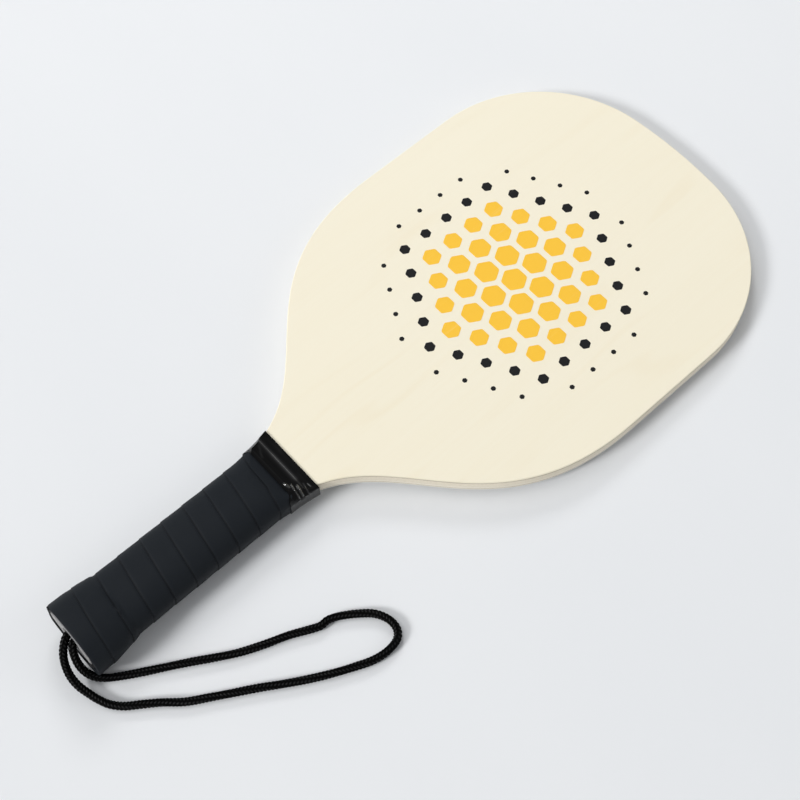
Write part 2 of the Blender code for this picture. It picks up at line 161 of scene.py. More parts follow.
class Nodes:
    """The node tree of one material or of the world, and the ways to add to it."""

    def __init__(self, tree: bpy.types.NodeTree, lie: Lie | None = None) -> None:
        """Empties a node tree to build in.

        Args:
            tree: the tree of a material or of the world.
            lie: how the paddle lies, for a finish that depends on the place along it.
        """
        self.tree = tree
        self.lie = lie
        tree.nodes.clear()

    def add(
        self,
        kind: str,
        settings: Mapping[str, object] | None = None,
        inputs: Mapping[int | str, object] | None = None,
        output: int | str = 0,
    ) -> Sock:
        """Adds a node, with its settings first and then its inputs.

        Args:
            kind: the node's type.
            settings: the node's own settings.
            inputs: values or links by socket name or number.
            output: the output socket that is handed back.

        Returns:
            The wanted output socket.
        """
        node = self.tree.nodes.new(kind)
        for key, value in (settings or {}).items():
            setattr(node, key, value)
        for key, value in (inputs or {}).items():
            if isinstance(value, Sock):
                self.tree.links.new(value.socket, node.inputs[key])
            else:
                node.inputs[key].default_value = value
        return Sock(self, node.outputs[output]) if len(node.outputs) else Sock(self, None)

    def place(self) -> Sock:
        """A point's place in the row frame, in metres."""
        return self.add("ShaderNodeTexCoord", output="Object")

    def inside(self) -> Sock:
        """A point's place in the paddle's own frame.

        Returns:
            The place in metres, with X from the butt.
        """
        turn = (0.0, self.lie.tilt, 0.0)
        inputs = {"Vector": self.place(), "Location": self.lie.mouth, "Rotation": turn}
        return self.add("ShaderNodeMapping", {"vector_type": "TEXTURE"}, inputs)

    def own(self, name: str, output: str = "Fac") -> Sock:
        """A value that a mesh holds for each of its points."""
        return self.add("ShaderNodeAttribute", {"attribute_name": name}, output=output)

    def stretch(self, point: Sock, by: Triple) -> Sock:
        """A point with each of its three parts scaled."""
        return self.add("ShaderNodeVectorMath", {"operation": "MULTIPLY"}, {0: point, 1: by})

    def part(self, point: Sock, axis: str) -> Sock:
        """One part of a point, X, Y or Z."""
        return self.add("ShaderNodeSeparateXYZ", inputs={0: point}, output=axis)

    def noise(self, point: Sock, scale: float, detail: float = 2.0, rough: float = 0.5) -> Sock:
        """Soft noise from 0 to 1."""
        inputs = {"Vector": point, "Scale": scale, "Detail": detail, "Roughness": rough}
        return self.add("ShaderNodeTexNoise", inputs=inputs)

    def step(self, value: Sock, start: float, end: float) -> Sock:
        """Goes smoothly from 0 at start to 1 at end."""
        inputs = {"Value": value, "From Min": start, "From Max": end, "To Min": 0.0, "To Max": 1.0}
        return self.add("ShaderNodeMapRange", {"interpolation_type": "SMOOTHSTEP"}, inputs)

    def tint(self, share: Sock, first: Sock | Colour, last: Sock | Colour) -> Sock:
        """Mixes two colours.

        Args:
            share: how much of the last colour there is, from 0 to 1.
            first: the colour at 0.
            last: the colour at 1.

        Returns:
            The colour a share of the way from first to last.
        """
        ends = [c if isinstance(c, Sock) else (*c, 1.0) for c in (first, last)]
        inputs = {0: share, 6: ends[0], 7: ends[1]}
        return self.add("ShaderNodeMix", {"data_type": "RGBA"}, inputs, output=2)

    def bump(self, height: Sock, depth: float, strength: float = 1.0) -> Sock:
        """A normal that a height field tilts, with the field's depth in metres."""
        inputs = {"Height": height, "Distance": depth, "Strength": strength}
        return self.add("ShaderNodeBump", inputs=inputs)

    def shaded_at_butt(self, colour: Sock, along: Sock) -> Sock:
        """A wood's colour, turned dark grey by painted shade on the butt's end face."""
        return self.tint(self.step(along, *BUTT_SHADE_DEPTH) * BUTT_SHADE_SHARE, colour, BUTT_SHADE_COLOUR)

    def surface(self, inputs: Mapping[str, object]) -> None:
        """Ends the tree in one Principled shader."""
        shader = self.add("ShaderNodeBsdfPrincipled", inputs=inputs)
        self.add("ShaderNodeOutputMaterial", inputs={"Surface": shader})


# Finishes


class Finish:
    """A surface finish, which makes its material once."""

    name: str

    def paint(self, nodes: Nodes) -> None:
        """Builds the finish's nodes."""
        raise NotImplementedError

    def material(self, lie: Lie | None = None) -> bpy.types.Material:
        """The finish's material, made on first use.

        Args:
            lie: how the paddle lies, for a finish that depends on the place along it.

        Returns:
            The material of this finish's name.
        """
        found = bpy.data.materials.get(self.name)
        if found is None:
            found = bpy.data.materials.new(self.name)
            found.use_nodes = True
            self.paint(Nodes(found.node_tree, lie))
        return found


@dataclass(frozen=True)
class VeneerFinish(Finish):
    """Pale lacquered veneer with a faint figure along the paddle."""

    name: str
    tone: Colour
    warm: Colour
    figure: float = 0.15
    seed: float = 0.0
    # How finely each mark runs along, across and through the sheet
    swells: Triple = (2.4, 13.0, 13.0)
    fibres: Triple = (9.0, 620.0, 620.0)
    flecks: Triple = (60.0, 900.0, 900.0)
    clouds: Triple = (9.0, 24.0, 24.0)
    growth_lines: float = 9.0
    growth_edge: float = 0.16
    fleck_share: float = 0.08
    fibre_share: float = 0.20
    cloud_share: float = 0.16
    warmth: float = 0.10
    roughness: float = 0.50
    gloss: float = 0.32
    relief: float = 0.00003

    def paint(self, nodes: Nodes) -> None:
        """Builds streaks, growth lines and small flecks over the tone.

        Args:
            nodes: the material's own nodes, to build in.
        """
        inside = nodes.inside()
        shift = {0: inside, 1: (self.seed,) * 3}
        spot = nodes.add("ShaderNodeVectorMath", {"operation": "ADD"}, shift)
        swell = nodes.noise(nodes.stretch(spot, self.swells), 1.0, 3.0)
        lines = abs(((swell * self.growth_lines) % 1.0) - 0.5)
        growth = nodes.step(lines, self.growth_edge, 0.0)
        fibre = nodes.noise(nodes.stretch(spot, self.fibres), 1.0, 4.0, 0.6)
        fleck = nodes.step(nodes.noise(nodes.stretch(spot, self.flecks), 1.0, 2.0), 0.66, 0.78)
        cloud = nodes.noise(nodes.stretch(spot, self.clouds), 1.0, 2.0)
        depth = growth * nodes.step(cloud, 0.38, 0.70) * self.figure
        marks = depth + fleck * self.fleck_share + (fibre - 0.5) * self.fibre_share
        share = marks + (cloud - 0.5) * self.cloud_share + self.warmth
        wood = nodes.tint(share, self.tone, self.warm)
        nodes.surface(
            {
                # The butt's end face takes painted shade.
                "Base Color": nodes.shaded_at_butt(wood, nodes.part(inside, "X")),
                "Roughness": self.roughness + (fibre - 0.5) * 0.12,
                "Specular IOR Level": self.gloss,
                "Normal": nodes.bump(fibre - fleck * 0.5, self.relief, 0.6),
            }
        )


@dataclass(frozen=True)
class PlyEdgeFinish(Finish):
    """The sanded edge of a ply, with short strokes of end grain and a line of brown glue."""

    name: str
    tone: Colour
    dark: Colour
    strokes: float = 900.0
    glue_height: float = 1.0  # out of reach, so that no line shows
    glue: Colour = (0.30, 0.21, 0.13)
    glue_line: Pair = (0.00075, 0.00025)
    pore_share: float = 0.45
    stain_share: float = 0.8
    stains: float = 34.0
    roughness: float = 0.66
    gloss: float = 0.25
    relief: float = 0.00008

    def paint(self, nodes: Nodes) -> None:
        """Builds end grain, soft stains, sanding marks and the glue line.

        Args:
            nodes: the material's own nodes, to build in.
        """
        spot = nodes.inside()
        pores = nodes.noise(nodes.stretch(spot, (1.0, 1.0, 2.2)), self.strokes, 3.0, 0.6)
        stain = nodes.noise(nodes.stretch(spot, (1.0, 1.0, 3.0)), self.stains, 3.0)
        grain = nodes.step(pores, 0.42, 0.74) * self.pore_share
        bare = nodes.tint(grain + (stain - 0.5) * self.stain_share + 0.16, self.tone, self.dark)
        line = nodes.step(abs(nodes.part(spot, "Z") - self.glue_height), *self.glue_line)
        wood = nodes.tint(line * (0.35 + stain * 0.6), bare, self.glue)
        nodes.surface(
            {
                # The butt's end face takes painted shade.
                "Base Color": nodes.shaded_at_butt(wood, nodes.part(spot, "X")),
                "Roughness": self.roughness + (pores - 0.5) * 0.2,
                "Specular IOR Level": self.gloss,
                "Normal": nodes.bump(pores, self.relief, 0.5),
            }
        )


@dataclass(frozen=True)
class SoftTapeFinish(Finish):
    """Matt soft tape with a fine skin, and painted shade along the seams at each turn's edge."""

    name: str
    tone: Colour
    rubbed: Colour
    seam_shade: Colour
    edge: str = "from_edge"
    seam_shade_width: Pair = (0.50, 0.15)
    seam_shade_share: float = 0.75
    skin: float = 2600.0
    patches: float = 60.0
    specks: float = 1500.0
    wear: float = 0.24
    roughness: float = 0.60
    gloss: float = 0.16
    relief: float = 0.00006

    def paint(self, nodes: Nodes) -> None:
        """Builds the skin's grain, slight hand wear and painted shade along the seams.

        Args:
            nodes: the material's own nodes, to build in.
        """
        spot = nodes.place()
        skin = nodes.noise(spot, self.skin, 3.0, 0.6)
        patch = nodes.noise(spot, self.patches, 4.0)
        dust = nodes.step(nodes.noise(spot, self.specks, 1.0), 0.76, 0.80)
        # Painted shade along each turn's edge, in the gap between the turns.
        seam_shade = nodes.step(nodes.own(self.edge), *self.seam_shade_width)
        worn = nodes.tint((patch - 0.5) * self.wear + dust * 0.25 + 0.08, self.tone, self.rubbed)
        nodes.surface(
            {
                "Base Color": nodes.tint(seam_shade * self.seam_shade_share, worn, self.seam_shade),
                "Roughness": self.roughness + (patch - 0.5) * 0.22 + (skin - 0.5) * 0.1,
                "Specular IOR Level": self.gloss,
                "Normal": nodes.bump(skin + patch * 0.6, self.relief, 0.5),
            }
        )


@dataclass(frozen=True)
class GlossTapeFinish(Finish):
    """Glossy vinyl tape with small stretch marks and a few dull smears, brightest where it is taut."""

    name: str
    tone: Colour
    gleam: str = "gleam"
    smears: float = 160.0
    marks: Triple = (900.0, 70.0, 70.0)
    dulling: float = 3.0
    roughness: float = 0.09
    gloss: float = 0.20
    coat: float = 0.9
    coat_roughness: float = 0.06
    coat_index: float = 2.1
    relief: float = 0.00003

    def paint(self, nodes: Nodes) -> None:
        """Builds the gloss, which stretch marks and smears break.

        Args:
            nodes: the material's own nodes, to build in.
        """
        spot = nodes.place()
        smear = nodes.noise(nodes.stretch(spot, (1.0, 0.4, 0.4)), self.smears, 3.0)
        marks = nodes.noise(nodes.stretch(spot, self.marks), 1.0, 2.0)
        dull = tuple(self.dulling * part for part in self.tone)
        nodes.surface(
            {
                "Base Color": nodes.tint(nodes.step(smear, 0.5, 0.8), self.tone, dull),
                "Roughness": self.roughness + nodes.step(smear, 0.42, 0.75) * 0.10,
                "Specular IOR Level": self.gloss,
                "Coat Weight": nodes.own(self.gleam) * self.coat,
                "Coat Roughness": self.coat_roughness,
                "Coat IOR": self.coat_index,
                "Normal": nodes.bump(marks * 0.3 + smear, self.relief, 0.20),
            }
        )


@dataclass(frozen=True)
class BraidFinish(Finish):
    """Dull braided yarn, with painted shade where its stitches meet and a painted glint on their backs.
    """

    name: str
    tone: Colour
    crest_glint: Colour
    crown: str = "crown"
    run: str = "run"
    fibres: Triple = (2.2, 9.0, 1.0)
    roughness: float = 0.75
    gloss: float = 0.05
    coat: float = 0.8
    coat_roughness: float = 0.30
    relief: float = 0.00008

    def paint(self, nodes: Nodes) -> None:
        """Builds the yarn's fibres, painted shade between the stitches and a painted glint on their
        backs.

        Args:
            nodes: the material's own nodes, to build in.
        """
        run = nodes.own(self.run, "Vector")
        fibre = nodes.noise(nodes.stretch(run, self.fibres), 1.0, 3.0, 0.6)
        high = nodes.own(self.crown)
        # Painted glint and shade: the colour goes from the dark tone between the stitches to a lighter
        # one on their backs.
        share = nodes.step(high, 0.60, 1.0) * (0.40 + fibre * 0.60)
        nodes.surface(
            {
                "Base Color": nodes.tint(share, self.tone, self.crest_glint),
                "Roughness": self.roughness,
                "Specular IOR Level": self.gloss,
                "Coat Weight": share * self.coat,
                "Coat Roughness": self.coat_roughness,
                "Normal": nodes.bump(fibre, self.relief, 0.4),
            }
        )


@dataclass(frozen=True)
class InkFinish(Finish):
    """Flat screen ink that lets a little of the grain through."""

    name: str
    tone: Colour
    worn: Colour
    fibres: Triple = (14.0, 700.0, 700.0)
    film: float = 900.0
    roughness: float = 0.46
    gloss: float = 0.30
    relief: float = 0.00003

    def paint(self, nodes: Nodes) -> None:
        """Builds the ink with fine pinholes along the grain.

        Args:
            nodes: the material's own nodes, to build in.
        """
        spot = nodes.place()
        fibre = nodes.noise(nodes.stretch(spot, self.fibres), 1.0, 4.0, 0.6)
        film = nodes.noise(spot, self.film, 2.0)
        share = nodes.step(fibre, 0.60, 0.82) * 0.35 + nodes.step(film, 0.6, 0.85) * 0.10
        nodes.surface(
            {
                "Base Color": nodes.tint(share, self.tone, self.worn),
                "Roughness": self.roughness + (film - 0.5) * 0.16,
                "Specular IOR Level": self.gloss,
                "Normal": nodes.bump(fibre + film * 0.5, self.relief, 0.5),
            }
        )


@dataclass(frozen=True)
class SteelFinish(Finish):
    """Bright drawn steel wire."""

    name: str
    tone: Colour
    lines: Triple = (4000.0, 60.0, 4000.0)
    shade: float = 0.8
    roughness: float = 0.28
    relief: float = 0.00001

    def paint(self, nodes: Nodes) -> None:
        """Builds the wire's drawing lines.

        Args:
            nodes: the material's own nodes, to build in.
        """
        lines = nodes.noise(nodes.stretch(nodes.place(), self.lines), 1.0, 2.0)
        nodes.surface(
            {
                "Base Color": nodes.tint(lines, self.tone, tuple(self.shade * c for c in self.tone)),
                "Metallic": 1.0,
                "Roughness": self.roughness + lines * 0.14,
                "Normal": nodes.bump(lines, self.relief, 0.4),
            }
        )


@dataclass(frozen=True)
class PaleFloorFinish(Finish):
    """The plain pale floor that everything lies on."""

    name: str
    tone: Colour
    shade: Colour
    clouds: Triple = (9.0, 2.0, 1.0)
    grain: float = 700.0
    roughness: float = 0.9
    gloss: float = 0.15
    relief: float = 0.0001

    def paint(self, nodes: Nodes) -> None:
        """Builds very slight clouds and a fine even grain.

        Args:
            nodes: the material's own nodes, to build in.
        """
        spot = nodes.place()
        clouds = nodes.noise(nodes.stretch(spot, self.clouds), 1.0, 2.0)
        grain = nodes.noise(spot, self.grain, 1.0)
        nodes.surface(
            {
                "Base Color": nodes.tint(nodes.step(clouds, 0.3, 0.75), self.tone, self.shade),
                "Roughness": self.roughness,
                "Specular IOR Level": self.gloss,
                "Normal": nodes.bump(grain, self.relief, 0.15),
            }
        )


class Look(Enum):
    """Every finish of the object and of its floor."""

    FACE = VeneerFinish("face_veneer_wood", (0.925, 0.868, 0.705), (0.860, 0.745, 0.520))
    BACK = VeneerFinish("back_veneer_wood", (0.960, 0.930, 0.850), (0.87, 0.78, 0.61), 0.25, 3.7)
    UPPER_PLY = PlyEdgeFinish("upper_ply_edge", (0.91, 0.835, 0.69), (0.72, 0.64, 0.50), 900.0, 0.0033)
    CORE_PLY = PlyEdgeFinish("core_ply_edge", (0.91, 0.84, 0.70), (0.74, 0.66, 0.52), 700.0)
    LOWER_PLY = PlyEdgeFinish("lower_ply_edge", (0.93, 0.87, 0.74), (0.79, 0.72, 0.59), 900.0, -0.0033)
    # The pallets show only on the butt's end face; their dark grey is painted shade.
    PALLET_SHADED = PlyEdgeFinish("pallet_end_painted_shade", (0.29, 0.285, 0.28), (0.22, 0.21, 0.20), 1200.0)
    # The last colour of the grip and of the band is painted shade for their seams.
    GRIP = SoftTapeFinish(
        "soft_grip_tape", (0.0090, 0.0116, 0.0152), (0.028, 0.031, 0.034), (0.0030, 0.0036, 0.0044)
    )
    BAND = SoftTapeFinish(
        "butt_band_tape", (0.016, 0.017, 0.019), (0.06, 0.06, 0.06), (0.012, 0.012, 0.013)
    )
    COLLAR = GlossTapeFinish("gloss_collar_tape", (0.0016, 0.0016, 0.0016))
    # The braid's lighter second colour is a painted glint on the stitches' backs.
    BRAID = BraidFinish("black_braid_yarn", (0.0007, 0.0007, 0.0007), (0.0050, 0.0053, 0.0056))
    YELLOW = InkFinish("yellow_face_ink", (0.975, 0.570, 0.050), (0.94, 0.70, 0.30))
    BLACK = InkFinish("black_face_ink", (0.010, 0.010, 0.011), (0.10, 0.09, 0.07))
    STEEL = SteelFinish("brad_wire_steel", (0.56, 0.56, 0.57))
    FLOOR = PaleFloorFinish("pale_floor", (0.820, 0.834, 0.850), (0.807, 0.822, 0.840))


# Meshes


def make_mesh(
    name: str,
    points: Sequence[Sequence[float]],
    faces: Sequence[Sequence[int]],
    look: Look,
    sharp: float = 45.0,
) -> bpy.types.Object:
    """Makes a smooth shaded object of one finish.

    Args:
        name: the piece's name.
        points: its points in the row frame, in metres.
        faces: its faces as point numbers.
        look: its finish.
        sharp: the angle in degrees above which an edge is shaded sharp.

    Returns:
        The object, linked to the scene.
    """
    mesh = bpy.data.meshes.new(name)
    mesh.from_pydata([tuple(p) for p in points], [], [tuple(f) for f in faces])
    mesh.validate()
    mesh.materials.append(look.value.material())
    mesh.shade_smooth()
    mesh.set_sharp_from_angle(angle=math.radians(sharp))
    made = bpy.data.objects.new(name, mesh)
    bpy.context.scene.collection.objects.link(made)
    return made


def keep_values(piece: bpy.types.Object, name: str, values: Sequence[float]) -> None:
    """Stores one number for each point of a piece, for its finish to read."""
    held = piece.data.attributes.new(name, "FLOAT", "POINT")
    held.data.foreach_set("value", np.asarray(values, np.float32).ravel())


def keep_vectors(piece: bpy.types.Object, name: str, values: np.ndarray) -> None:
    """Stores three numbers for each point of a piece, for its finish to read."""
    held = piece.data.attributes.new(name, "FLOAT_VECTOR", "POINT")
    held.data.foreach_set("vector", np.asarray(values, np.float32).ravel())


def skin_faces(rows: int, count: int, ring: bool = False) -> list[list[int]]:
    """Faces over rows of points that close round each row, with one face on each open end.

    Args:
        rows: how many rows there are.
        count: how many points each row has.
        ring: whether the last row joins the first one.

    Returns:
        Faces as point numbers, row after row.
    """
    faces = []
    for r in range(rows if ring else rows - 1):
        low, high = r * count, (r + 1) % rows * count
        for i in range(count):
            j = (i + 1) % count
            faces.append([low + i, low + j, high + j, high + i])
    if not ring:
        last = (rows - 1) * count
        faces.append(list(range(count))[::-1])
        faces.append([last + i for i in range(count)])
    return faces


@dataclass(frozen=True)
class HandleForm:
    """The bare handle and neck as the frame has them, from X 0 at the butt."""

    length: float = 0.400
    blade_width: float = 0.1935
    half_blade: float = 0.00425
    side_end: float = 0.1352
    shoulder_pull: float = 0.0984
    neck_pull: float = 0.0671
    straight: float = 0.1084
    width: float = 0.0304
    thickness: float = 0.0179
    side_flat: float = 0.0024
    crown_flat: float = 0.0024
    pallet_length: float = 0.1205
    pallet_ramp: float = 0.0150
    pallet_toe: float = 0.0008
    pallet_face: float = 0.00435
    butt_slant: float = math.radians(3.4)
    wrap_shift: float = 0.00102

    def butt_cut(self, z: float) -> float:
        """Where the butt ends at a height, which is X 0 at its middle."""
        return z * math.tan(self.butt_slant)

    def pull(self, angle: float) -> float:
        """How much thinner the wraps are at an angle: pulled tight at +Y and slack at -Y."""
        return self.wrap_shift * math.cos(angle)

    def half_width(self, x: float) -> float:
        """Half the width of the tongue and neck, at a distance from the butt.

        Args:
            x: the distance from the butt.

        Returns:
            Half the width there.
        """
        if x <= self.straight:
            return self.width / 2
        side = self.length - self.side_end
        ends = (side, side - self.shoulder_pull, self.straight + self.neck_pull, self.straight)
        low, high = 0.0, 1.0
        for _ in range(HALVINGS):
            t = (low + high) / 2
            low, high = (t, high) if self._cubic(ends, t) > x else (low, t)
        half, tongue = self.blade_width / 2, self.width / 2
        return self._cubic((half, half, tongue, tongue), low)

    @staticmethod
    def _cubic(ends: Sequence[float], t: float) -> float:
        """One part of a cubic curve at a share of its way."""
        u = 1 - t
        return u**3 * ends[0] + 3 * u * u * t * ends[1] + 3 * u * t * t * ends[2] + t**3 * ends[3]

    def section(self, x: float) -> Vector:
        """The section of the bare handle, at a distance from the butt.

        Args:
            x: the distance from the butt.

        Returns:
            Half width, half thickness and half flats.
        """
        ramp = ease(x, self.pallet_length - self.pallet_ramp, self.pallet_length)
        width = self.half_width(x)
        thickness = mix(self.thickness / 2, self.pallet_face + self.pallet_toe, ramp)
        side = mix(self.side_flat / 2, self.half_blade, ramp)
        crown = mix(self.crown_flat / 2, width - self.pallet_toe, ramp)
        return Vector((width, thickness, side, crown))

    @staticmethod
    def on_section(section: Vector, angle: float, offset: float, hollow: float = 1.0) -> Pair:
        """A point of a section, moved outwards.

        Args:
            section: half width, half thickness and half flats.
            angle: where the point lies on the section's corners.
            offset: how far it is moved out.
            hollow: 1 for round corners, 2 for straight ones.

        Returns:
            Its Y and Z.
        """
        width, thickness, side, crown = section
        c, s = math.cos(angle), math.sin(angle)
        y = math.copysign(crown + (width - crown + offset) * abs(c) ** hollow, c)
        z = math.copysign(side + (thickness - side + offset) * abs(s) ** hollow, s)
        return y, z

    def shares(self, count: int, first: float) -> list[float]:
        """How far round a turn each of a ring's points lies, by its way along the oval.

        Args:
            count: points in a turn, counted against the angle.
            first: the angle of the first point.

        Returns:
            Shares from 0, one for each point.
        """
        section = self.section(0.0)
        angles = [first - TURN * k / count for k in range(count + 1)]
        ring = [Vector(self.on_section(section, angle, 0.0)) for angle in angles]
        runs = [0.0]
        for here, there in zip(ring, ring[1:]):
            runs.append(runs[-1] + (there - here).length)
        return [run / runs[-1] for run in runs[:-1]]


class Lie:
    """How the paddle lies: its butt up on the grip, its tip down."""

    def __init__(self, record: Mapping[str, object]) -> None:
        """Takes the place of the cord's mouth and the tilt of the face.

        Args:
            record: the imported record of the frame.
        """
        swing = record["behaviour"]["joints"][0]
        face = next(m for m in record["mounts"] if m["name"] == "playing_face")
        self.mouth = Vector(swing["pos_m"])
        self.tilt = math.atan2(face["axis"][0], face["axis"][2])
        self.matrix = Matrix.Translation(self.mouth) @ Matrix.Rotation(self.tilt, 4, "Y")

    def put(self, x: float, y: float, z: float) -> Vector:
        """A point of the paddle's own frame, in the row frame."""
        return self.matrix @ Vector((x, y, z))


@dataclass
class PlyBlade:
    """The plies, pallets and brad of the frame, which only take their finishes."""

    lie: Lie
    nodes: Mapping[str, bpy.types.Object]

    def dress(self) -> list[str]:
        """Gives each solid that stays its finish.

        Returns:
            The names of the solids.
        """
        looks = {
            "face_veneer": Look.FACE,
            "upper_cross_ply": Look.UPPER_PLY,
            "core_ply": Look.CORE_PLY,
            "lower_cross_ply": Look.LOWER_PLY,
            "back_veneer": Look.BACK,
            # The pallets' finish carries painted shade.
            "upper_pallet": Look.PALLET_SHADED,
            "lower_pallet": Look.PALLET_SHADED,
            "anchor_brad": Look.STEEL,
        }
        for name, look in looks.items():
            mesh = self.nodes[name].data
            mesh.materials.clear()
            mesh.materials.append(look.value.material(self.lie))
        return list(looks)


@dataclass
class FacePrint:
    """A honeycomb printed on the face: large hexagons in rings and small ones round them."""

    lie: Lie
    middle: float = 0.279
    pitch: float = 0.0146
    face: float = 0.00425
    film: float = 0.00006
    sizes: tuple[float, ...] = (0.0070, 0.0068, 0.0062, 0.0052)
    spark_rings: tuple[tuple[int, float], ...] = ((4, 0.0030), (5, 0.0014))
    reach: float = 4.7  # in pitches, past which no small hexagon is printed
    corner: float = 0.16
    corner_points: int = 4
    sharp: float = 30.0

    @staticmethod
    def toward(sixths: float) -> Vector:
        """The direction after a count of sixths of a turn."""
        angle = TURN * sixths / HEX
        return Vector((math.cos(angle), math.sin(angle)))

    def cells(self, ring: int) -> list[Pair]:
        """The middles of one ring of a honeycomb.

        Args:
            ring: the ring's number, 0 for the single cell in the middle.

        Returns:
            X and Y from the honeycomb's middle.
        """
        if ring == 0:
            return [(0.0, 0.0)]
        found = []
        for side in range(HEX):
            here, there = self.toward(side) * ring, self.toward(side + 1) * ring
            for k in range(ring):
                point = here.lerp(there, k / ring) * self.pitch
                found.append((point.x, point.y))
        return found

    def hexagon(self, radius: float) -> list[Pair]:
        """A hexagon with slightly rounded corners.

        Args:
            radius: from its middle to its corners.

        Returns:
            Its outline.
        """
        corners = [self.toward(k + 0.5) * radius for k in range(HEX)]
        outline = []
        for k, corner in enumerate(corners):
            before, after = corners[k - 1], corners[(k + 1) % HEX]
            start, end = corner.lerp(before, self.corner), corner.lerp(after, self.corner)
            for i in range(self.corner_points):
                t = i / (self.corner_points - 1)
                point = start.lerp(corner, t).lerp(corner.lerp(end, t), t)
                outline.append((point.x, point.y))
        return outline

    def print_cells(self, name: str, cells: Sequence[Triple], look: Look) -> bpy.types.Object:
        """Lays thin hexagons of ink on the face.

        Args:
            name: the piece's name.
            cells: X, Y and radius of each hexagon, from the honeycomb's middle.
            look: the ink.

        Returns:
            All the hexagons as one piece.
        """
        points, faces = [], []
        for x, y, radius in cells:
            first = len(points)
            outline = self.hexagon(radius)
            count = len(outline)
            for z in (self.face, self.face + self.film):
                points += [self.lie.put(self.middle + x + u, y + v, z) for u, v in outline]
            faces += [[first + i for i in face] for face in skin_faces(2, count)]
        return make_mesh(name, points, faces, look, self.sharp)

    def dress(self) -> list[bpy.types.Object]:
        """Prints both colours.

        Returns:
            The yellow and the black print.
        """
        large = [(x, y, r) for n, r in enumerate(self.sizes) for x, y in self.cells(n)]
        small = [
            (x, y, r)
            for n, r in self.spark_rings
            for x, y in self.cells(n)
            if math.hypot(x, y) < self.reach * self.pitch
        ]
        made = [
            self.print_cells("face_print_yellow", large, Look.YELLOW),
            self.print_cells("face_print_black", small, Look.BLACK),
        ]
        for piece in made:
            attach(piece, "paddle")
        return made


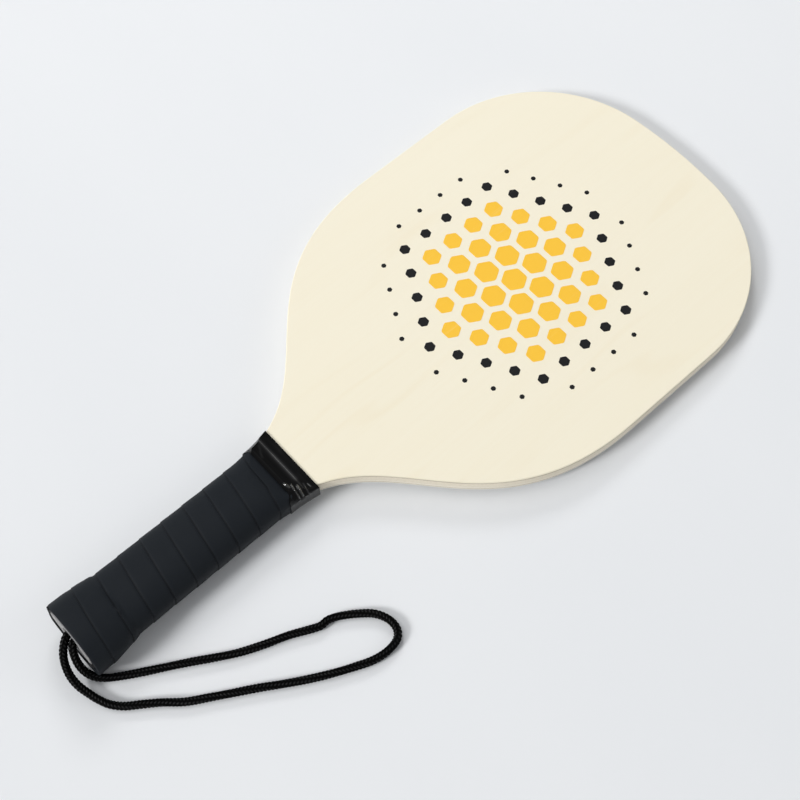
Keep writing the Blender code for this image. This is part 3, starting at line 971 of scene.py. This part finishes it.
@dataclass
class WoundGrip:
    """The band that flares the butt and the soft tape wound over it in overlapped turns."""

    lie: Lie
    form: HandleForm
    gap: float = 0.0003
    band_length: float = 0.0228
    band_taper: float = 0.0060
    band_thickness: float = 0.0018
    band_end: float = 0.0006
    band_ease: float = 0.0014
    band_swell: float = 0.0009
    band_layers: int = 2
    # Each thinning of the band towards the neck: its share, where it starts and where it ends
    band_thins: tuple[Triple, ...] = ((0.55, 0.007, 0.018), (0.45, 0.016, band_length))
    band_inset: float = 0.0002
    band_round: float = 0.0002
    band_slope: float = 0.002
    first_layer: float = 0.15
    near_edge: float = 0.8
    far_edge: float = 0.4
    thickness: float = 0.00185
    step: float = 0.00025
    pitch: float = 0.0125
    lap: float = 0.0025
    lap_tip: float = 0.00015
    least_lap: float = 0.0002
    corner: float = 0.00025
    corner_cut: float = 0.3
    edge_drop: float = 1.5
    outer_points: int = 8
    inner_shares: Triple = (0.4, 0.2, 0.1)
    under_gap: float = 0.05 * MM
    # The hand-wound unevenness of the outer face: its height, its wave along and its seed
    swell: float = 0.05 * MM
    swell_wave: float = 0.004
    swell_seed: float = 1.3
    first_seam: float = 0.0140
    turns: tuple[int, int] = (-3, 12)
    end: float = 0.1153
    end_rise: float = 0.0023
    tip_width: float = 0.0006
    overhang: float = 0.0006
    # Where the band swells, the tape hangs over and it runs on, as a cosine or sine of the angle
    slack_side: Pair = (0.70, 1.0)
    under_side: Pair = (0.0, 0.6)
    flat_sides: Pair = (0.3, 0.9)
    around: int = 90
    first_angle: float = TURN * 0.5 / 24
    sharp: float = 50.0

    def trim_at(self, angle: float) -> float:
        """Where the tape is cut off at the butt, a little past the wood on its underside."""
        _, z = self.form.on_section(self.form.section(0.0), angle, self.seat(0.0, angle))
        return self.form.butt_cut(z) - self.overhang * ease(-math.sin(angle), *self.under_side)

    def end_at(self, angle: float) -> float:
        """Where the tape ends at the neck, a little further along on top and below."""
        return self.end + self.end_rise * ease(abs(math.sin(angle)), *self.flat_sides)

    def band_at(self, x: float, angle: float) -> float:
        """Thickness of the band, which thins towards the neck and swells on its -Y side.

        Args:
            x: the distance from the butt.
            angle: the place round the handle.

        Returns:
            The band's thickness there.
        """
        thick = self.band_thickness + self.band_swell * ease(-math.cos(angle), *self.slack_side)
        thinned = sum(share * ease(x, start, stop) for share, start, stop in self.band_thins)
        return mix(thick, self.band_end, thinned)

    def seat(self, x: float, angle: float) -> float:
        """How far the tape's inner face lies off the bare handle."""
        past = ease(x, self.band_length, self.band_length + self.band_ease)
        return self.gap + (self.band_at(max(x, 0.0), angle) + self.gap) * (1 - past)

    def put(self, x: float, angle: float, offset: float) -> Vector:
        """A point off the bare handle, in the row frame."""
        return self.lie.put(x, *self.form.on_section(self.form.section(max(x, 0.0)), angle, offset))

    def profile(self, edge: float, angle: float) -> list[Pair]:
        """One cut through the strip, as places along the handle and heights off the tape's seat.

        Args:
            edge: where the strip's edge towards the butt would lie.
            angle: where the cut is, round the handle.

        Returns:
            The outer face from the butt to the neck, then the inner face back.
        """
        near, stop = max(edge, self.trim_at(angle)), self.end_at(angle)
        far = min(edge + self.pitch, stop)
        lap = max(min(self.lap, stop - far), self.least_lap)
        thick = self.thickness - self.form.pull(angle)

        def top(x: float) -> float:
            """Height of the outer face, which sinks a step over each turn."""
            swell = self.swell * ripple(x / self.swell_wave, angle, self.swell_seed)
            return thick + self.step * (1 - (x - edge) / self.pitch) + swell

        def under(x: float) -> float:
            """Height of the inner face, which climbs onto the turn before."""
            rise = max(1 - (x - edge) / self.lap, 0.0)
            return mix(0.0, thick, rise) + self.under_gap

        r = min(self.corner, (far - near) / 4)
        cut = self.corner_cut * r
        outer = [(near, top(near) - r), (near + cut, top(near) - cut), (near + r, top(near + r))]
        for i in range(1, self.outer_points + 1):
            x = mix(near + r, far, i / self.outer_points)
            outer.append((x, top(x)))
        for share in (0.5, 1.0):
            outer.append((far + lap * share, mix(top(far), self.lap_tip, share)))
        back = [far + lap, far, *(mix(near, far, share) for share in self.inner_shares), near]
        return outer + [(x, min(under(x), top(near) - self.edge_drop * r)) for x in back]

    def make_tape(self) -> bpy.types.Object:
        """Winds the strip from the butt to the neck.

        Returns:
            The grip tape as one unbroken strip.
        """
        shares = self.form.shares(self.around, self.first_angle)
        points, edges, rows = [], [], 0
        first, last = self.turns
        for n in range(first * self.around, last * self.around):
            angle = self.first_angle - TURN * n / self.around
            edge = self.first_seam + self.pitch * (n // self.around + shares[n % self.around])
            near, stop = self.trim_at(angle), self.end_at(angle)
            if edge + self.pitch < near + self.tip_width or edge > stop - self.tip_width:
                continue
            rows += 1
            for x, height in self.profile(edge, angle):
                points.append(self.put(x, angle, self.seat(x, angle) + height))
                edges.append((x - edge) / MM)
        count = len(points) // rows
        tape = make_mesh("wound_grip_tape", points, skin_faces(rows, count), Look.GRIP, self.sharp)
        keep_values(tape, "from_edge", edges)
        return tape

    def make_band(self) -> bpy.types.Object:
        """Winds the band under the tape, whose layers show as a spiral on the butt.

        Returns:
            The band as one strip.
        """
        points, edges, rows = [], [], 0
        for n in range(self.band_layers * self.around + 1):
            turns = n / self.around
            angle = self.first_angle + TURN * turns
            near = self.trim_at(angle) + self.band_inset
            far = self.band_length - self.band_taper * max(turns - 0.5, 0.0) / self.band_layers
            low = max(turns - 1.0, 0.0) / self.band_layers
            high = max(turns, self.first_layer) / self.band_layers
            middle = mix(near, far, 0.5)
            cut = [(near, low), (middle, low), (far, low), (far, mix(low, high, self.far_edge))]
            cut += [(far - self.band_slope, high), (middle, high), (near + self.band_round, high)]
            cut.append((near, mix(low, high, self.near_edge)))
            rows += 1
            for x, share in cut:
                height = self.gap + self.band_at(max(x, 0.0), angle) * share
                points.append(self.put(x, angle, height))
                edges.append((x - near) / MM)
        count = len(points) // rows
        band = make_mesh("wound_butt_band", points, skin_faces(rows, count), Look.BAND, self.sharp)
        keep_values(band, "from_edge", edges)
        return band

    def dress(self) -> list[bpy.types.Object]:
        """Makes the band and the tape in the frame's places for them.

        Returns:
            Both pieces.
        """
        band, tape = self.make_band(), self.make_tape()
        for piece, node, slot in ((band, "butt_band", "band_tape"), (tape, "grip_tape", "grip_tape")):
            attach(piece, "paddle")
            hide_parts(node)
        return [band, tape]


@dataclass(frozen=True)
class Fold:
    """A crease of the collar, from one place on it to another, along and across in millimetres."""

    start: Pair
    end: Pair
    width: float
    height: float
    taper: float = 0.6
    taper_width: float = 0.6

    def lift(self, along: float, across: float) -> float:
        """How far the crease lifts the tape.

        Args:
            along: the place along the handle, in millimetres.
            across: the place across it, in millimetres.

        Returns:
            The lift there, in millimetres.
        """
        a, b, p = Vector(self.start), Vector(self.end), Vector((along, across))
        run = b - a
        t = min(max((p - a).dot(run) / run.length_squared, 0.0), 1.0)
        full = 1 - self.taper + self.taper * bell(t - 0.5, self.taper_width)
        return self.height * bell((p - a - run * t).length, self.width) * full


@dataclass
class GlossCollar:
    """The glossy tape that ends the grip, stretched from the grip down onto the flat neck."""

    lie: Lie
    form: HandleForm
    side_start: float = 0.1143
    top_start: float = 0.1169
    leave: float = 0.1190
    # Each fall of the top: its share, where it starts and where it ends
    falls: tuple[Triple, ...] = (
        (0.46, 0.1176, 0.1237),
        (0.43, 0.1236, 0.1257),
        (0.11, 0.1256, 0.1282),
    )
    # The shares of an even and of a soft slope in a fall
    steady: float = 0.85
    soft: float = 0.15
    # The taut band that gleams across the steep fall: its strength, place and width, and where it fades
    band_gleam: float = 0.55
    band_at: float = 0.1245
    band_width: float = 0.0012
    band_ends: Pair = (-0.0125, -0.0095)
    band_fades: Pair = (0.0040, 0.0110)
    band_faded: float = 0.5
    fold_gleam: float = 2.5
    end: float = 0.1305
    lift: float = 0.0027
    side_lift: float = 0.0024
    spread: float = 0.00055
    gap: float = 0.0003
    thickness: float = 0.0004
    cover: float = 0.9
    corner: float = 0.0004
    widening: float = 1.5
    flat_before: float = 0.0015
    straightening: float = 0.7
    straight_power: int = 4
    pull_left: float = 0.8
    # How deep the inner face is tucked under the edge, and over how many rows
    tuck: float = 0.00012
    tuck_rows: int = 4
    edge_round: float = 0.00005
    # The two edges' wander: its height, the waves round the collar and the phase
    start_wander: Triple = (0.25 * MM, 3.0, 0.6)
    end_wander: Triple = (0.12 * MM, 2.0, 1.0)
    over_flats: Pair = (0.40, 1.0)
    # Where the folds start before the tape leaves the grip, and where round the collar
    free_before: Pair = (1.6 * MM, 0.6 * MM)
    free_round: Pair = (0.10, 0.35)
    flat_end: float = 1.0 * MM
    # Small puckers: their height in millimetres, and their waves along and round with a seed
    pucker: float = 0.03
    pucker_waves: Triple = (1.1, 6.0, 0.7)
    corner_points: int = 36
    top_points: int = 160
    back_points: int = 60
    wall_points: int = 4
    along: int = 84
    sharp: float = 60.0
    folds: tuple[Fold, ...] = (
        Fold((118.5, -9.8), (119.2, -12.4), 0.52, 1.00),
        Fold((120.8, -11.8), (119.9, -17.6), 0.34, 0.62),
        Fold((122.7, -14.0), (122.0, -17.6), 0.50, 0.62),
        Fold((125.9, -14.4), (124.9, -18.6), 0.40, 0.30),
        Fold((127.6, -15.6), (127.9, -18.0), 0.30, 0.25),
        Fold((118.5, 13.0), (118.8, -9.0), 0.30, 0.06),
        Fold((128.6, 15.0), (128.9, -8.0), 0.45, 0.04),
        Fold((119.6, 8.0), (122.4, 14.0), 0.60, 0.10),
    )

    def section(self, x: float) -> Vector:
        """The tape's inner section: round the grip at first, then close on the neck.

        Its sides flatten and widen before its top comes down.

        Args:
            x: the distance from the butt.

        Returns:
            Half width, half thickness and half flats.
        """
        half = self.form.half_blade
        grip = self.form.section(min(x, self.leave)) + Vector((self.lift, self.lift, 0.0, 0.0))
        first = self.form.half_width(self.side_start) + self.side_lift
        last = self.form.half_width(self.end) + self.gap + self.spread
        wide = mix(first, last, self.gone(x) ** self.widening)
        drop = self.drop(x)
        flat = ease(x, self.side_start - self.flat_before, self.leave)
        return Vector(
            (
                wide,
                mix(grip[1], half + self.gap, drop),
                mix(grip[2], half - self.corner, flat),
                mix(grip[3], wide - self.gap - self.corner, drop),
            )
        )

    def gone(self, x: float) -> float:
        """The share of the collar's length that lies before a place."""
        return min(max((x - self.side_start) / (self.end - self.side_start), 0.0), 1.0)

    def drop(self, x: float) -> float:
        """How far the top has come down from the grip to the neck: gently, steeply, gently."""
        return sum(share * self.slope(x, start, end) for share, start, end in self.falls)

    def slope(self, x: float, start: float, end: float) -> float:
        """Goes from 0 to 1 at nearly the same rate all the way, with soft ends."""
        t = min(max((x - start) / (end - start), 0.0), 1.0)
        return self.steady * t + self.soft * ease(t, 0.0, 1.0)

    def hollow(self, x: float) -> float:
        """How straight the corners between top and side are pulled as the top comes down."""
        left = 1 - self.drop(x) ** self.straight_power
        return 1.0 + self.straightening * ease(x, self.side_start, self.leave) * left

    def start_at(self, angle: float) -> float:
        """Where the tape's edge lies on the grip, further along over the top and the back."""
        over = ease(abs(math.sin(angle)), *self.over_flats)
        return mix(self.side_start, self.top_start, over) + self.wander(self.start_wander, angle)

    @staticmethod
    def wander(waves: Triple, angle: float) -> float:
        """How far an edge strays along the handle at an angle."""
        height, count, phase = waves
        return height * math.sin(count * angle + phase)

    def crease(self, x: float, y: float, angle: float) -> float:
        """How far folds and small puckers lift the tape, on the back as on the top.

        Args:
            x: the distance from the butt.
            y: the place across the handle.
            angle: the place round it.

        Returns:
            The lift there.
        """
        along, across = x / MM, y / MM
        lifted = sum(fold.lift(along, across) for fold in self.folds)
        run, around, seed = self.pucker_waves
        pucker = self.pucker * ripple(along * run, angle * around, seed)
        first, last = self.free_before
        free = ease(x, self.leave - first, self.leave - last)
        free *= ease(abs(math.sin(angle)), *self.free_round)
        at_end = 1 - ease(x, self.end - self.flat_end, self.end)
        return MM * (lifted * free * at_end + pucker * at_end)

    def band(self, x: float, y: float) -> float:
        """How brightly the taut band gleams: fully over the middle, less to +Y and not at -Y."""
        shown = ease(y, *self.band_ends) * mix(1.0, self.band_faded, ease(y, *self.band_fades))
        return self.band_gleam * bell(x - self.band_at, self.band_width) * shown

    def ring(self) -> list[Pair]:
        """The places of a ring's points: an angle, and on a flat the share of its half from 1 to -1.

        Returns:
            Angles and shares, corner and flat in turn, all the way round.
        """
        places = []
        flats = (self.top_points, self.wall_points, self.back_points, self.wall_points)
        steps = [k / self.corner_points for k in range(1, self.corner_points)]
        for quarter, count in enumerate(flats):
            first, last = TURN * quarter / 4, TURN * (quarter + 1) / 4
            places += [(mix(first, last, step), 0.0) for step in steps]
            places += [(last, 1 - 2 * k / count) for k in range(count + 1)]
        return places

    def on_ring(self, section: Vector, bent: float, place: Pair, offset: float) -> Pair:
        """A point of the tape's section at a place of its ring, moved outwards.

        Args:
            section: half width, half thickness and half flats.
            bent: how straight the corners are.
            place: an angle and a share of half a flat.
            offset: how far the point is moved out.

        Returns:
            Its Y and Z.
        """
        angle, share = place
        y, z = self.form.on_section(section, angle, offset, bent)
        c, s = math.cos(angle), math.sin(angle)
        if abs(c) < NEAR_ZERO:
            y = share * section[3] * s
        elif abs(s) < NEAR_ZERO:
            z = -share * section[2] * c
        return y, z

    def make(self) -> bpy.types.Object:
        """Skins the tape's outer and inner faces.

        Returns:
            The collar.
        """
        points, gleams = [], []
        places = self.ring()
        for place in places:
            angle = place[0]
            start, stop = self.start_at(angle), self.end + self.wander(self.end_wander, angle)
            outer, inner, shine = [], [], []
            for i in range(self.along + 1):
                x = mix(start, stop, i / self.along)
                section, bent = self.section(x), self.hollow(x)
                y, _ = self.on_ring(section, bent, place, 0.0)
                pulled = self.form.pull(angle) * mix(1.0, self.pull_left, self.gone(x))
                crease = self.crease(x, y, angle)
                shine.append(min(self.band(x, y) + self.fold_gleam * max(crease, 0.0) / MM, 1.0))
                offset = crease - pulled
                raised = self.thickness * self.cover + offset
                sunk = min(offset + pulled, 0.0) - (self.tuck * ease(i, 0, self.tuck_rows) + pulled)
                outer.append((x, *self.on_ring(section, bent, place, raised)))
                inner.append((x, *self.on_ring(section, bent, place, sunk)))
            rounded = (outer[0][0] - self.edge_round, *(np.add(outer[0][1:], inner[0][1:]) / 2))
            points += [self.lie.put(*p) for p in (*outer, *inner[::-1], rounded)]
            gleams += [*shine, *shine[::-1], 0.0]
        count = len(points) // len(places)
        faces = skin_faces(len(places), count, ring=True)
        collar = make_mesh("gloss_collar", points, faces, Look.COLLAR, self.sharp)
        keep_values(collar, "gleam", gleams)
        return collar

    def dress(self) -> bpy.types.Object:
        """Makes the collar in the frame's place for it.

        Returns:
            The collar.
        """
        collar = self.make()
        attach(collar, "paddle")
        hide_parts("collar_tape")
        return collar


@dataclass(frozen=True)
class Braid:
    """A round braid whose stitches lean left and right in turn, column by column."""

    diameter: float = 0.0041
    columns: int = 6
    per_column: int = 7
    stitch: float = 0.0017
    lean: float = 0.8
    depth: float = 0.00050
    roundness: float = 2.4
    valley: float = 0.72
    valley_power: float = 2.2
    twist: float = 0.16
    step: float = 0.00022
    sharp: float = 75.0

    def crowns(self, along: np.ndarray, around: np.ndarray) -> np.ndarray:
        """How high each point lies on its stitch, from 0 between stitches to 1 on their backs.

        Args:
            along: metres along the cord.
            around: shares of a turn round it.

        Returns:
            Heights of the same shape as the two together.
        """
        column = np.floor(around * self.columns)
        across = around * self.columns - column - 0.5
        side = np.where(column % 2 == 0, 1.0, -1.0)
        phase = along / self.stitch + side * across * self.lean + 0.5 * (column % 2)
        within = 2 * np.abs(phase - np.floor(phase) - 0.5)
        valley = self.valley * (2 * np.abs(across)) ** self.valley_power
        return (1 - within**self.roundness) * (1 - valley)

    def tube(self, name: str, path: Sequence[Vector]) -> bpy.types.Object:
        """Braids a cord along a path of even steps.

        Args:
            name: the piece's name.
            path: the cord's middle line in the row frame.

        Returns:
            The cord as one closed mesh.
        """
        line = np.array([tuple(p) for p in path])
        runs = np.concatenate([[0.0], np.cumsum(np.linalg.norm(np.diff(line, axis=0), axis=1))])
        ahead = np.gradient(line, axis=0)
        ahead /= np.linalg.norm(ahead, axis=1)[:, None]
        sides = self._carry(ahead)
        third = np.cross(ahead, sides)
        count = self.columns * self.per_column
        around = (np.arange(count)[None, :] + 0.5) / count
        high = self.crowns(runs[:, None], around)
        radius = self.diameter / 2 - self.depth * (1 - high)
        turned = TURN * (around + runs[:, None] / self.twist)
        out = np.cos(turned)[..., None] * sides[:, None] + np.sin(turned)[..., None] * third[:, None]
        points = line[:, None] + out * radius[..., None]
        faces = skin_faces(len(line), count)
        tube = make_mesh(name, points.reshape(-1, 3), faces, Look.BRAID, self.sharp)
        keep_values(tube, "crown", high)
        where = np.zeros((*high.shape, 3))
        where[..., 0], where[..., 1] = runs[:, None] / MM, around * count
        keep_vectors(tube, "run", where)
        return tube

    @staticmethod
    def _carry(ahead: np.ndarray) -> np.ndarray:
        """A side direction for each step, carried along without turning about the path.

        Args:
            ahead: the path's direction at each step.

        Returns:
            Directions square to the path.
        """
        side = Vector(ahead[0]).orthogonal().normalized()
        sides = [side]
        for before, after in zip(ahead, ahead[1:]):
            side = Vector(before).rotation_difference(Vector(after)) @ side
            side = (side - side.dot(Vector(after)) * Vector(after)).normalized()
            sides.append(side)
        return np.array([tuple(s) for s in sides])


@dataclass
class WristCord:
    """The braided cord: its free loop beside the handle and its two tails in the butt."""

    lie: Lie
    braid: Braid
    spacing: float = 0.0047
    inside: float = 0.0050
    tail_start: float = 0.0054
    tail_end: float = 0.0296
    rest: float = 0.0021
    length: float = 0.3475
    per_knot: int = 40
    # Two distances to -Y of the mouth
    bend: Pair = (0.002, 0.020)
    # The free loop as the frame has it: X and Y from the mouth's middle and the rise off the floor
    route: tuple[Triple, ...] = (
        (-2.1, -3.9, 11.2), (-3.6, -6.6, 9.3), (-4.5, -9.9, 6.9), (-4.4, -13.7, 4.3),
        (-2.7, -17.7, 2.1), (0.9, -21.4, 0.8), (5.9, -24.9, 0.3), (14.6, -30.2, 0.1),
        (24.3, -35.8, 0.1), (34.0, -41.5, 0.1), (43.5, -47.4, 0.1), (53.1, -53.0, 0.1),
        (63.9, -57.8, 0.1), (74.8, -62.0, 0.1), (82.9, -66.0, 0.1), (88.7, -68.6, 0.1),
        (93.5, -68.9, 0.1), (98.8, -71.3, 0.1), (105.3, -75.8, 0.1), (111.1, -81.1, 0.1),
        (114.2, -87.6, 0.1), (113.9, -93.5, 0.1), (110.5, -97.2, 0.1), (104.0, -98.3, 0.1),
        (96.3, -97.1, 0.1), (87.7, -93.6, 0.1), (77.5, -88.7, 0.1), (67.7, -83.3, 0.1),
        (58.3, -77.5, 0.1), (49.1, -71.5, 0.1), (39.6, -65.8, 0.1), (30.1, -60.0, 0.1),
        (20.8, -54.2, 0.1), (12.7, -47.2, 0.1), (5.5, -41.8, 0.1), (-0.6, -37.3, 0.1),
        (-5.1, -32.2, 0.2), (-7.7, -26.7, 0.5), (-9.2, -21.9, 1.2), (-10.4, -17.4, 2.4),
        (-10.7, -13.2, 4.0), (-10.1, -9.2, 6.0), (-8.8, -5.9, 8.1), (-7.0, -3.1, 9.9),
        (-4.8, -0.8, 11.1), (-2.4, 1.1, 11.7),
    )

    def path(self) -> list[Vector]:
        """The loop's middle line in even steps, from inside the butt round and back into it.

        Returns:
            Points in the row frame.
        """
        mouth = self.lie.mouth
        knots = [
            Vector((mouth.x + x * MM, mouth.y + y * MM, self.rest + z * MM)) for x, y, z in self.route
        ]
        first, last = -self.spacing / 2, self.spacing / 2
        knots = [self.lie.put(self.inside, first, 0.0), self.lie.put(0.0, first, 0.0), *knots]
        knots += [self.lie.put(0.0, last, 0.0), self.lie.put(self.inside, last, 0.0)]
        return self.even(self.smooth(knots))

    def smooth(self, knots: Sequence[Vector]) -> list[Vector]:
        """A smooth curve through knots.

        Args:
            knots: the points that the curve passes through.

        Returns:
            Close points on the curve.
        """
        dense = []
        for i in range(len(knots) - 1):
            before, here = knots[max(i - 1, 0)], knots[i]
            there, after = knots[i + 1], knots[min(i + 2, len(knots) - 1)]
            for k in range(self.per_knot):
                t = k / self.per_knot
                dense.append(
                    (2 * t**3 - 3 * t**2 + 1) * here
                    + (t**3 - 2 * t**2 + t) * (there - before) / 2
                    + (3 * t**2 - 2 * t**3) * there
                    + (t**3 - t**2) * (after - here) / 2
                )
        return [*dense, knots[-1]]

    def even(self, dense: Sequence[Vector]) -> list[Vector]:
        """The same curve in even steps of the braid's own step.

        Args:
            dense: close points on the curve.

        Returns:
            Evenly spaced points, both ends included.
        """
        line = np.array([tuple(p) for p in dense])
        runs = np.concatenate([[0.0], np.cumsum(np.linalg.norm(np.diff(line, axis=0), axis=1))])
        want = np.linspace(0.0, runs[-1], int(round(runs[-1] / self.braid.step)) + 1)
        return [Vector([np.interp(w, runs, line[:, axis]) for axis in range(3)]) for w in want]

    def dress(self) -> list[bpy.types.Object]:
        """Makes the loop and the two tails.

        Returns:
            The three pieces.
        """
        mouth, path = self.lie.mouth, self.path()
        near, far = self.bend
        loop = self.braid.tube("braided_wrist_cord", path)
        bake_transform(loop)
        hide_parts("wrist_cord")
        tuple(mouth)
        [tuple(p) for p in path]
        made = [loop]
        span = (self.tail_start, self.tail_end)
        for name, side in (("cord_tail_left", 1), ("cord_tail_right", -1)):
            ends = [self.lie.put(x, side * self.spacing / 2, 0.0) for x in span]
            tail = self.braid.tube("braided_" + name, self.even(ends))
            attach(tail, "paddle")
            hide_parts(name)
            made.append(tail)
        return made


@dataclass(frozen=True)
class Softbox:
    """A round softbox that faces the paddle."""

    name: str
    toward: Triple
    distance: float
    size: float
    power: float
    mirrored: bool = True

    def hang(self) -> None:
        """Adds the lamp to the scene."""
        toward = Vector(self.toward).normalized()
        lamp = bpy.data.lights.new(self.name, "AREA")
        lamp.shape = "DISK"
        lamp.size = self.size
        lamp.energy = self.power
        hung = bpy.data.objects.new(self.name, lamp)
        hung.location = toward * self.distance
        hung.rotation_mode = "QUATERNION"
        hung.rotation_quaternion = toward.to_track_quat("Z", "Y")
        hung.visible_glossy = self.mirrored
        bpy.context.scene.collection.objects.link(hung)


@dataclass
class Studio:
    """The floor, the soft light and the camera."""

    lie: Lie
    floor_half: float = 6.0
    floor_under: float = 0.00015
    floor_cells: int = 8
    lamps: tuple[Softbox, ...] = (
        Softbox("key", (-1.42, 0.30, 0.95), 8.0, 2.1, 375.0),
        Softbox("broad", (-0.30, 0.42, 0.90), 5.0, 3.6, 58.0),
        Softbox("fill", (0.465, 0.638, 0.616), 1.8, 0.6, 8.0, mirrored=False),
        Softbox("front", (0.75, -0.55, 0.45), 3.0, 1.6, 9.0, mirrored=False),
    )
    sky_low: Colour = (0.40, 0.405, 0.41)
    sky_high: Colour = (0.31, 0.314, 0.32)
    sky_fade: float = 0.45
    # The camera in the paddle's own frame, with the image taken as 800 by 800
    eye: Triple = (-0.016145, -0.237594, 0.615046)
    right: Triple = (0.738593, -0.674151, 0.0)
    up: Triple = (0.602942, 0.660577, 0.447325)
    roll: float = 0.2646
    focal: float = 1401.645
    image: float = 800.0
    sensor: float = 36.0
    clip: Pair = (0.01, 50.0)

    def make_floor(self) -> bpy.types.Object:
        """The pale floor as a level sheet of square cells.

        Returns:
            The floor.
        """
        count = self.floor_cells + 1
        places = np.linspace(-self.floor_half, self.floor_half, count)
        points = [(x, y, -self.floor_under) for y in places for x in places]
        corners = (0, 1, count + 1, count)
        faces = [
            [r * count + c + corner for corner in corners]
            for r in range(self.floor_cells)
            for c in range(self.floor_cells)
        ]
        floor = make_mesh("floor", points, faces, Look.FLOOR)
        return floor

    def make_light(self) -> None:
        """The softboxes, and a sky that is paler near the floor."""
        for lamp in self.lamps:
            lamp.hang()
        world = bpy.data.worlds.new("studio")
        world.use_nodes = True
        bpy.context.scene.world = world
        nodes = Nodes(world.node_tree)
        rise = nodes.part(nodes.add("ShaderNodeTexCoord", output="Generated"), "Z")
        colour = nodes.tint(nodes.step(rise, 0.0, self.sky_fade), self.sky_low, self.sky_high)
        sky = nodes.add("ShaderNodeBackground", inputs={"Color": colour, "Strength": 1.0})
        nodes.add("ShaderNodeOutputWorld", inputs={"Surface": sky})

    def make_camera(self) -> bpy.types.Object:
        """The camera at the photograph's angle.

        Returns:
            The camera, which is also set as the scene's own.
        """
        right, up = Vector(self.right), Vector(self.up)
        back = right.cross(up).normalized()
        c, s = math.cos(math.radians(self.roll)), math.sin(math.radians(self.roll))
        across, upward = c * right + s * up, c * up - s * right
        turn = Matrix((across, upward, back)).transposed().to_4x4()
        lens = bpy.data.cameras.new("view")
        lens.sensor_width = self.sensor
        lens.lens = self.focal * self.sensor / self.image
        lens.clip_start, lens.clip_end = self.clip
        camera = bpy.data.objects.new("view", lens)
        bpy.context.scene.collection.objects.link(camera)
        camera.matrix_world = self.lie.matrix @ Matrix.Translation(self.eye) @ turn
        bpy.context.scene.camera = camera
        return camera

    def build(self) -> None:
        """Makes the floor, the light and the camera, and sets the plain view transform."""
        self.make_camera()
        self.make_floor()
        self.make_light()
        bpy.context.scene.view_settings.view_transform = "Standard"


def report(made: Sequence[bpy.types.Object]) -> None:
    """Logs each piece with its count of points."""
    for piece in made:
        LOG.info("%s: %d points", piece.name, len(piece.data.vertices))


def main() -> None:
    """Clears Blender's own scene, loads the frame and dresses it."""
    logging.basicConfig(level=logging.INFO, format="%(message)s")
    for old in list(bpy.data.objects):
        bpy.data.objects.remove(old)
    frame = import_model()
    lie = Lie(frame["record"])
    form = HandleForm()
    Studio(lie).build()
    report(WristCord(lie, Braid()).dress())
    LOG.info("finishes on %s", ", ".join(PlyBlade(lie, frame["nodes"]).dress()))
    report(WoundGrip(lie, form).dress())
    report([GlossCollar(lie, form).dress()])
    report(FacePrint(lie).dress())


if __name__ == "__main__":
    main()
